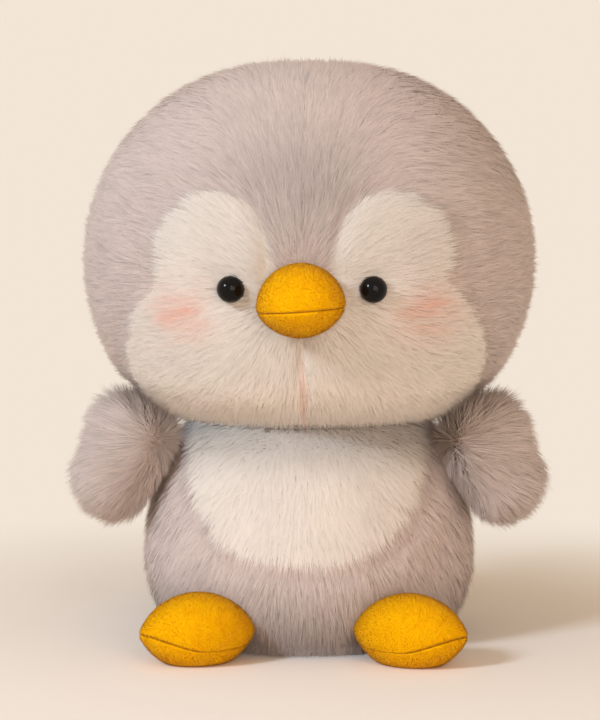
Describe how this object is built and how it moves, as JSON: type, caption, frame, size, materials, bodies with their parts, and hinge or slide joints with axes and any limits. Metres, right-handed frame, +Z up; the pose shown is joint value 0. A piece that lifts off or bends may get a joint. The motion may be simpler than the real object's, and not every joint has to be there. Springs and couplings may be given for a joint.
{
  "type": "plush penguin",
  "caption": "Sitting plush penguin with a large round head, long grey and cream pile, glossy eyes, a padded orange beak, stub wings that swing, a head that turns and nods, and feet that tip up",
  "frame": {"origin": "centre of the round base that the toy sits on, on the floor plane", "axes": "+Z up, -Y the way the toy faces, +X the toy's own left"},
  "size_m": [0.204, 0.2155, 0.25],
  "materials": {
    "grey_plush": "matte",
    "cream_plush": "matte",
    "orange_fleece": "matte",
    "stuffing": "matte",
    "black_eye": "gloss",
    "white_washer": "matte",
    "thread": "matte",
    "bag_cotton": "matte"
  },
  "bodies": {
    "body": {"body_panel_left": "grey_plush", "body_panel_right": "grey_plush", "belly_panel": "cream_plush", "base_panel": "grey_plush", "body_stuffing": "stuffing", "pellet_bag": "bag_cotton"},
    "neck": {"neck_thread": "thread"},
    "head": {"head_panel_left": "grey_plush", "head_panel_right": "grey_plush", "face_panel_left": "cream_plush", "face_panel_right": "cream_plush", "head_stuffing": "stuffing", "eye_left": "black_eye", "eye_right": "black_eye", "eye_washers": "white_washer", "beak_upper": "orange_fleece", "beak_lower": "orange_fleece", "beak_stuffing": "stuffing"},
    "wing_left": {"wing_front_left": "grey_plush", "wing_back_left": "grey_plush", "wing_stuffing_left": "stuffing"},
    "wing_right": {"wing_front_right": "grey_plush", "wing_back_right": "grey_plush", "wing_stuffing_right": "stuffing"},
    "foot_left": {"foot_top_left": "orange_fleece", "foot_sole_left": "orange_fleece", "foot_stuffing_left": "stuffing"},
    "foot_right": {"foot_top_right": "orange_fleece", "foot_sole_right": "orange_fleece", "foot_stuffing_right": "stuffing"}
  },
  "joints": [
    {"name": "head_turn", "type": "hinge", "parent": "body", "child": "neck", "pos_m": [0, 0, 0.075], "axis": [0, 0, 1], "range_deg": [-25, 25], "stiffness_Nm_per_rad": 0.5},
    {"name": "head_nod", "type": "hinge", "parent": "neck", "child": "head", "pos_m": [0, 0, 0.075], "axis": [1, 0, 0], "range_deg": [-7, 7], "stiffness_Nm_per_rad": 1.5},
    {"name": "wing_left_swing", "type": "hinge", "parent": "body", "child": "wing_left", "pos_m": [0.05775, -0.01877, 0.08518], "axis": [0.4274, -0.1389, -0.8933], "range_deg": [-15, 20], "stiffness_Nm_per_rad": 0.05},
    {"name": "wing_right_swing", "type": "hinge", "parent": "body", "child": "wing_right", "pos_m": [-0.05775, -0.01877, 0.08518], "axis": [0.4274, 0.1389, 0.8933], "range_deg": [-15, 20], "stiffness_Nm_per_rad": 0.05},
    {"name": "foot_left_tip", "type": "hinge", "parent": "body", "child": "foot_left", "pos_m": [0.03687, -0.05866, 0.01763], "axis": [-0.8466, -0.5322, 0], "range_deg": [0, 15], "stiffness_Nm_per_rad": 0.05},
    {"name": "foot_right_tip", "type": "hinge", "parent": "body", "child": "foot_right", "pos_m": [-0.03687, -0.05866, 0.01763], "axis": [-0.8466, 0.5322, 0], "range_deg": [0, 15], "stiffness_Nm_per_rad": 0.05}
  ]
}
